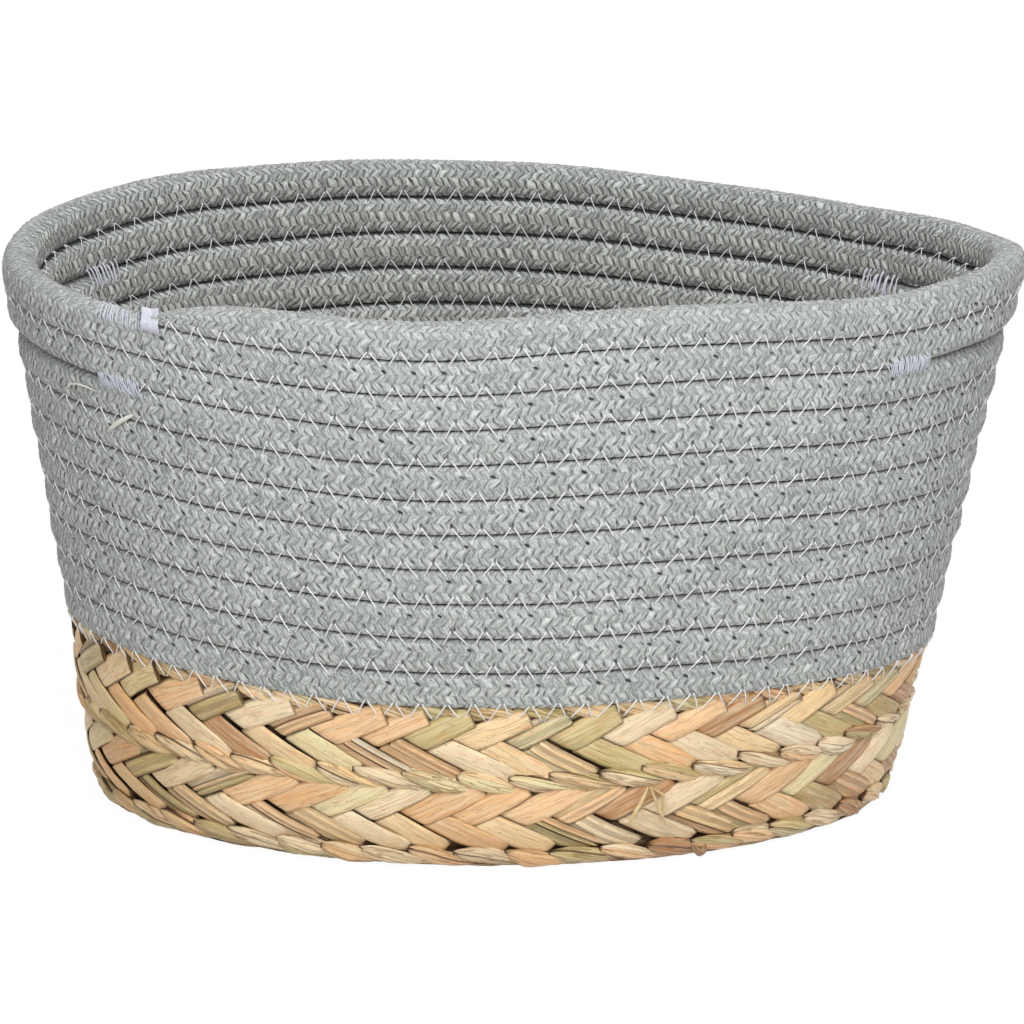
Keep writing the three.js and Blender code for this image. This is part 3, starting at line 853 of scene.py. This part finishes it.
# Selvage: the strands turn over at a plait's edge and look like a row of twisted, creased lenses.
# A lens is a ring of columns that turn round as they go along; four of them are creases between its leaves
def selvageRolls(count, spacing, edge, sides, rows):
    each = (count, 1, 1)
    number = np.arange(count).reshape(each)
    a = np.linspace(0, 1, rows)[None, :, None]
    column = np.arange(sides)[None, :]
    length = edge.get("length", strand["rollLength"]) * spacing / strand["spacing"]
    length = length * rng.uniform(0.9, 1.12, each)
    thick = edge["radius"] * rng.uniform(0.82, 1.14, each)
    slope = edge["slope"] + rng.normal(0, 0.05, each)
    startU = number * spacing + rng.normal(0, 0.8, each)
    lay = rng.uniform(0.5, 1.6, each) * (a - 0.5) + rng.uniform(0, fullTurn, each)
    turn = (column * fullTurn / sides)[:, None, :] + lay
    # blunt at its start, drawn out at its end
    fullness = np.sin(np.pi * np.clip(a, 0.025, 0.985) ** 0.78) ** 0.6
    breaks = np.round(np.array([0, 0.26, 0.5, 0.74]) * sides)
    places = np.mod(column - rng.integers(0, sides, (count, 1)), sides)
    crease = np.isin(places, breaks) * rng.uniform(0.35, 1.0, (count, sides))
    leaf = (places[..., None] >= breaks).sum(-1) - 1
    furrow = 1 - 0.3 * crease + 0.07 * rng.normal(0, 1, (count, sides))
    furrow = furrow[:, None, :] + rng.normal(0, 0.035, (count, rows, sides))
    ringV = thick * edge["squash"] * fullness * furrow * np.cos(turn)
    ringN = thick * edge["flat"] * fullness * furrow * np.sin(turn)
    bow = rng.normal(0, 0.4, each) * np.sin(np.pi * a)
    u = startU + (a - 0.5) * length + 0 * turn
    v = edge["at"] + (0.5 - a) * length * np.tan(slope) + ringV + bow
    level = -thick * edge["flat"] + 0.35 + edge["crest"] + (0.5 - a) * 1.2 + ringN
    tint = np.take_along_axis(leafColours(count), (leaf % 3)[..., None], axis=1)
    # painted shade: at the creases, at the tucked ends, and on the side that faces into the plait
    shade = crease[:, None, :] + 0 * turn
    shade = np.maximum(shade, 0.95 * (1 - smoothStep(np.sin(np.pi * a), 0.06, 0.35)))
    shade = np.maximum(shade, smoothStep(-np.sin(turn), -0.45, 0.2))
    offset = rng.uniform(0, 400, each)
    around = np.arange(sides + 1)[None, None, :] * fullTurn / sides * edge["radius"]
    uv = np.stack(np.broadcast_arrays(a * length + offset, around + offset * 1.3), -1)
    return u, v, level, uv, tint, np.clip(shade, 0, 1)


# A dark core inside a plait, one closed strip that the strands lie on: its dark colour is painted shade in
# the gaps
def bandCore(place, length, lowV, highV, stations=400):
    u = np.linspace(0.4, length - 0.4, stations)[:, None]
    across = [lowV, (lowV + highV) / 2, highV]
    lines = [("outer", v) for v in across] + [("inner", v) for v in across[::-1]]
    ring = [place(u, v + 0 * u, -foot["coreDepth"] + 0 * u, face) for face, v in lines]
    tint = np.tile(np.array(colour(40, 27, 14)), (1, 6, 1))
    shade = np.ones((1, stations, 6))
    return {"grid": np.concatenate(ring, 1)[None], "tint": tint, "shade": shade, "crinkle": 0.3}


def placed(place, parts, face, crinkle):
    u, v, level, uv, tint, shade = parts
    u, v, level = np.broadcast_arrays(u, v, level)
    return {"grid": place(u, v, level, face), "uv": uv, "tint": tint, "shade": shade, "crinkle": crinkle}


# A round of plait on edge, from a low height up to topAt, which depends on the angle. u runs along it,
# v up it in a straight line, and level out of its face
def standingRound(low, startAngle, topAt):
    angles, lengths = roundTable(low + foot["plaitWidth"] / 2, foot["inset"] + 1, startAngle)

    def place(u, v, level, face):
        angle = np.interp(np.mod(u, lengths[-1]), lengths, angles)
        z = np.maximum(low + v * (topAt(angle) - low) / foot["plaitWidth"], 0.1)  # never below the floor
        depth = -level if face == "outer" else foot["plaitThickness"] + level
        return ovalPoint(angle, z, foot["inset"] + heel(z) + depth)

    return place, lengths[-1]


# Lower round: stands on the base's edge, its heel drawn in towards the floor
def lowerRound():
    low = foot["baseThickness"] + foot["clearance"]
    return standingRound(low, math.pi / 2, lambda angle: low + foot["plaitWidth"])


# Upper round: its top edge keeps under the rope's last loop
def upperRound():
    low = foot["baseThickness"] + foot["plaitWidth"] + 2 * foot["clearance"]
    start = angleAt(rope["turns"] - 1)
    return standingRound(low, start, lambda angle: underRope(rope["turns"] - 1 + (angle - start) / fullTurn))


# Base: the same plait wound flat as an oval spiral, a step in at the back on every loop
def baseWinding():
    reach = foot["baseInset"]
    loopWidth = (oval["baseDepth"] / 2 - reach) / foot["baseLoops"]
    turns = foot["baseLoops"] + foot["baseStep"] - foot["baseLead"]

    def loopInset(turn):
        return sum(loopWidth * smoothStep(turn - loop, -foot["baseLead"], foot["baseStep"])
                   for loop in range(1, foot["baseLoops"] + 1))

    def middle(turn):
        return reach + (loopInset(turn) + loopInset(turn + 1)) / 2

    angles, lengths = roundTable(0.0, 0, math.pi / 2, turns, middle)

    def place(u, v, level, face):
        angle = np.interp(u, lengths, angles)
        turn = (angle - math.pi / 2) / fullTurn
        outer = reach + loopInset(turn)
        inner = reach + loopInset(turn + 1) - foot["baseLoopGap"]
        inset = np.maximum(outer + (inner - outer) * v / foot["plaitWidth"], reach + foot["clearance"])
        points = ovalPoint(angle, 0 * inset, inset)
        points[..., 2] = foot["baseThickness"] + level if face == "outer" else np.maximum(-level, 0.05)
        return points

    return place, lengths[-1]


# One plait: the core, strands on both faces, and twisted selvages at the edges. Only the outer face's
# selvages stand out by a crest or have a fatness of their own
def makePlait(name, plan):
    place, length = plan["winding"]()
    count = int(round(length / strand["spacing"]))
    spacing = length / count
    count -= plan.get("fewer", 0)
    width = foot["plaitWidth"]
    core = plan.get("coreInset", 2.0)
    groups = [bandCore(place, length, core, width - core)]
    for face in ("outer", "inner"):
        for upper, edge, dive in ((False, "low", "lowDive"), (True, "high", "highDive")):
            strands = faceStrands(count, spacing, plan[edge], width / 2, upper, plan[dive])
            groups.append(placed(place, strands, face, 0.4))
        for edge in plan["edges"]:
            edge = {"crest": 0, "flat": strand["flat"], **edge}
            if face == "inner":
                edge.update(crest=0, flat=strand["flat"])
            rolls = selvageRolls(count, spacing, edge, *plan["detail"])
            groups.append(placed(place, rolls, face, 1.0))
    makePiece(name, groups, seagrassLeaf, "seagrass", plan["node"])


# The node that a plait replaces, how it is wound, and how far its strand ends and its selvages lie from
# its lower or outer edge
plaits = {
    "upperPlait": {
        "node": "upper_wall_plait", "winding": upperRound,
        "low": 0.4, "high": 21.0, "lowDive": 0.8, "highDive": -0.35, "detail": (12, 12), "edges": [
            {"at": 0.0, "radius": 2.8, "slope": 0.2, "squash": 1.18, "flat": 0.74, "crest": 0.25},
            {"at": 21.6, "radius": 2.5, "slope": 0.16, "squash": 1.3, "crest": -0.9}]},
    "lowerPlait": {
        "node": "lower_wall_plait", "winding": lowerRound,
        "low": 0.8, "high": 22.8, "lowDive": 0.8, "highDive": 0.8, "detail": (12, 12), "edges": [
            {"at": -1.5, "radius": 3.0, "slope": 0.17, "squash": 1.15, "flat": 0.85, "crest": 0.9,
             "length": 21},
            {"at": -3.3, "radius": 1.6, "slope": 0.1, "squash": 0.9, "crest": -1.2}]},
    "basePlait": {
        "node": "base_plait_coil", "winding": baseWinding, "fewer": 2, "coreInset": -0.3,
        "low": 2.2, "high": 21.2, "lowDive": 0.6, "highDive": 0.6, "detail": (8, 7), "edges": [
            {"at": 1.2, "radius": 2.3, "slope": 0.1, "squash": 1.0},
            {"at": 22.2, "radius": 1.9, "slope": 0.1, "squash": 1.0}]},
}
for name, plan in plaits.items():
    makePlait(name, plan)
print("foot plaited")


# Satin tack on the rope's end: threads side by side over the thinned end and down both sides, with
# looser ones before them. A thread is half a turn of an ellipse from one side of the rope to the other
def makeEndTack():
    tack = {
        # first and last place from the rope's end, and the count
        "tight": (-3.6, 2.3, 25), "loose": (-21, -4.0, 24), "between": -3.8,
        "radius": 0.17, "above": 0.15, "beside": 0.12, "looseSunk": 0.12, "start": 2.0, "slant": 8,
    }
    share = np.linspace(0, 1, 15)[None, :]
    looseAt = np.linspace(*tack["loose"]) + rng.normal(0, 0.35, tack["loose"][2])
    at = np.concatenate([np.linspace(*tack["tight"]), looseAt])[:, None]
    isLoose = at < tack["between"]
    spread = rng.normal(0, 0.45, at.shape) * isLoose
    _, high, _ = ropeHalves(np.maximum(0, at / loopLength))
    lean = tack["start"] - tack["slant"] * smoothStep(share, 0.08, 0.92) + spread
    turn = 1 + (at + lean) / loopLength
    sunk = tack["looseSunk"] * isLoose
    top = halfPitch + tack["above"] - sunk + 2 * high * smoothStep(at, -4.8, -3.4)
    arch, swing = np.sin(np.pi * share), np.cos(np.pi * share)
    out = (halfWidth + tack["beside"] - sunk) * swing * (1 - 0.12 * arch)
    low = halfPitch - 2.2 - rng.normal(0, 0.3, at.shape) - 0.8 * isLoose * rng.random(at.shape)
    up = low + (top - low) * arch ** 0.5
    angle, z, inset = ropeCentre(turn)
    lean = np.minimum(rope["pitch"] - up, 3 * (up - 3.1) - 2)
    lean = rope["upright"] * flareAt(angle, z + up, inset) * lean + courseShift(turn - 1)
    paths = ovalPoint(angle, z + up, inset - out - lean)
    normals = outward(angle) * swing[..., None] + np.array([0, 0, 1.0]) * (arch[..., None] + 0.05)
    grid = tubes(paths, normals, tack["radius"] * rng.uniform(0.85, 1.1, at.shape), 5)
    makePiece("endTack", [{"grid": grid}], tackThread, "sewing_thread", "rope_end_tack")


# Bar tack at a slit's end: slanted stitches over both courses, close outside and sparse inside.
# A stitch is a straight line that dives into the rope at both ends, by a power of how near the end is
def makeBarTack(name, node, angle, outer, inner):
    turnOfTack = 1 + np.mod(angle - rope["endAngle"], fullTurn) / fullTurn
    groups = []
    for side, plan in ((1, outer), (-1, inner)):
        count, length, reach = plan["stitches"], plan["length"], plan["reach"]
        at = np.linspace(-length / 2, length / 2, count)[:, None]
        at = at + rng.normal(0, plan["loose"] * length / count, at.shape) + plan["shift"]
        share = np.linspace(0, 1, 9)[None, :]
        lean = rng.normal(plan["lean"], plan["loose"], at.shape) * (share - 0.5) * 2
        topEnd, lowEnd = reach * rng.uniform(0.6, 1.15, (2, *at.shape))
        turn = turnOfTack + (at + lean) / loopLength
        angleHere, upperZ, inset = ropeCentre(turn)
        _, lowerZ, lowerInset = ropeCentre(turn + 1)
        seam = (upperZ + lowerZ) / 2
        z = seam + topEnd + (-lowEnd - topEnd) * share
        inset = inset + (lowerInset - inset) * share
        ends = np.abs(2 * share - 1) ** 6
        out = side * (halfWidth + 0.1 + 0.2 * rng.random(at.shape) - 0.8 * ends)
        out = out + leanAtSeam(turn, z - seam, angleHere, z, inset)
        paths = ovalPoint(angleHere, z, inset - out)
        radius = plan["radius"] * rng.uniform(0.7, 1.15, at.shape)
        groups.append({"grid": tubes(paths, outward(angleHere) * side, radius, 5)})
    makePiece(name, groups, tackThread, "sewing_thread", node)


makeEndTack()
# The bar tacks' stitches: outside at the left slit and at the right one, and inside at both
tacks = {
    "left": {"stitches": 38, "length": 16, "reach": 2.9, "loose": 0.6, "lean": 0.5, "radius": 0.16,
             "shift": 0.8},
    "right": {"stitches": 40, "length": 15.5, "reach": 2.9, "loose": 0.3, "lean": 0.7, "radius": 0.18,
              "shift": -0.6},
    "inside": {"stitches": 9, "length": 15, "reach": 3.2, "loose": 0.25, "lean": -0.4, "radius": 0.33,
               "shift": 0},
}
for name, node, side, end in (
        ("barTackFrontLeft", "handle_tack_front_left", "left", 1),
        ("barTackBackLeft", "handle_tack_back_left", "left", 0),
        ("barTackFrontRight", "handle_tack_front_right", "right", 1),
        ("barTackBackRight", "handle_tack_back_right", "right", 0)):
    makeBarTack(name, node, slits[side][end], tacks[side], tacks["inside"])
print("tacks sewn")


# Loose bits: a thread lying in an arc, a coarse fibre in the braid, frayed straw at the foot, and a brown
# knot under its edge. A bit is a tapered tube through points: angle, height, and how far out each stands
straw = colour(255, 226, 162)
bits = {
    "looseThread": (0.3, "sewing_thread", straw, (
        (-2.683, 133.8, -0.3), (-2.655, 135.4, 0.5), (-2.617, 136.4, 0.7), (-2.586, 136.2, 0.5),
        (-2.56, 135.4, -0.3))),
    "coarseFibre": (0.72, "cotton_rope", straw, (
        (-2.536, 124.1, -0.3), (-2.508, 126.1, 0.5), (-2.482, 128.2, 0.7), (-2.455, 130.0, 0.5),
        (-2.426, 131.9, -0.3))),
    "frayedStraw1": (0.6, "seagrass", straw, (
        (-1.206, 26.0, 0.2), (-1.222, 22.5, 1.6), (-1.236, 18.6, 1.4), (-1.247, 14.6, 0.9))),
    "frayedStraw2": (0.55, "seagrass", straw, (
        (-1.2, 26.2, 0.4), (-1.186, 21.5, 2.0), (-1.168, 17.4, 1.6), (-1.15, 13.4, 0.9))),
    "frayedStraw3": (0.5, "seagrass", straw, (
        (-1.196, 25.8, 0.2), (-1.166, 23.4, 1.2), (-1.163, 20.2, 1.3), (-1.169, 17.2, 0.9))),
    "brownKnot": (1.15, "seagrass", colour(132, 84, 44), (
        (-1.052, 4.6, -1.0), (-1.045, 2.8, 0.8), (-1.033, 1.6, 1.3), (-1.02, 2.6, 0.9),
        (-1.014, 4.5, -0.8))),
}


def makeBit(name, radius, slot, tint, points):
    stations, sides = 17, 8
    share = np.linspace(0, 1, stations)
    at = np.linspace(0, 1, len(points))
    curves = [np.interp(share, at, value) for value in np.array(points).T]
    smoothing = np.array([0.25, 0.5, 0.25])
    curves = [np.concatenate([line[:1], np.convolve(line, smoothing, "valid"), line[-1:]]) for line in curves]
    path = ovalPoint(curves[0], curves[1], heel(curves[1]) - curves[2])
    width = radius * np.sin(np.pi * np.clip(share, 0.08, 0.92)) ** 0.5
    ridge = 1 + 0.16 * np.cos(3 * np.arange(sides) * fullTurn / sides + 1)
    ridge = ridge + rng.normal(0, 0.05, (stations, sides))
    tube = tubes(path[None], outward(curves[0])[None], width[None], sides)
    tube = path[None, :, None] + (tube - path[None, :, None]) * ridge[None, ..., None]
    uv = np.stack(np.meshgrid(share * 12, np.arange(sides + 1.0), indexing="ij"), -1)[None]
    group = {"grid": tube, "uv": uv, "crinkle": 0.6, "shade": np.zeros((1, stations, sides)),
             "tint": np.tile(np.array(tint), (1, sides, 1))}
    makePiece(name, [group], seagrassLeaf if slot == "seagrass" else creamFibre, slot)


for name, plan in bits.items():
    makeBit(name, *plan)
print("loose bits placed")


# A plain pale floor that runs out to white, and soft light from above, from the front and from behind
studio = {
    "floorSize": 12.0, "floorShade": 0.82, "floorGlow": 1.03, "glowShare": 0.93, "worldLight": 0.37,
    "lampSize": 0.8, "aimHeight": 0.09,
    "lamps": {"key": (10.5, (0.05, -0.85, 0.85)), "fill": (1.0, (1.0, -0.7, 0.6)),
              "back": (5.0, (-0.05, 1.1, 0.75))},
}


def makeStudio():
    mesh = bpy.data.meshes.new("floor")
    half = studio["floorSize"] / 2
    corners = [(-half, -half, 0), (half, -half, 0), (half, half, 0), (-half, half, 0)]
    mesh.from_pydata(corners, [], [(0, 1, 2, 3)])
    floor = added("floor", mesh, (0, 0, -0.0002))
    r = Recipe(bpy.data.materials.new("paleFloor"))
    glow = r.made("Emission", {"Strength": studio["floorGlow"]})
    r.put(r.output, r.made("MixShader", {0: r.seen() * studio["glowShare"], 1: r.shader.outputs[0], 2: glow}))
    mesh.materials.append(r.finish({"Base Color": (studio["floorShade"],) * 3, "Roughness": 0.9}))
    floor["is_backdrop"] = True
    r = Recipe(bpy.data.worlds.new("studio"), "Background", "OutputWorld")
    strength = r.rise(r.seen(), 0.0, 1.0, studio["worldLight"], 1.0)
    bpy.context.scene.world = r.finish({"Color": (1, 1, 1), "Strength": strength})
    for name, (power, place) in studio["lamps"].items():
        data = bpy.data.lights.new(name, "AREA")
        data.shape = "DISK"
        data.size = studio["lampSize"]
        data.energy = power
        x, y, z = np.array([0, 0, studio["aimHeight"]]) - np.array(place)
        added(name, data, place, (math.atan2(math.hypot(x, y), -z), 0, math.atan2(-x, y)))
    bpy.context.scene.view_settings.view_transform = "Standard"


makeStudio()
print("studio lit")

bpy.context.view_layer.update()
meshes = [piece.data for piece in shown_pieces() if piece.type == "MESH"]
total = sum(len(mesh.loops) - 2 * len(mesh.polygons) for mesh in meshes)
print("triangles:", total)
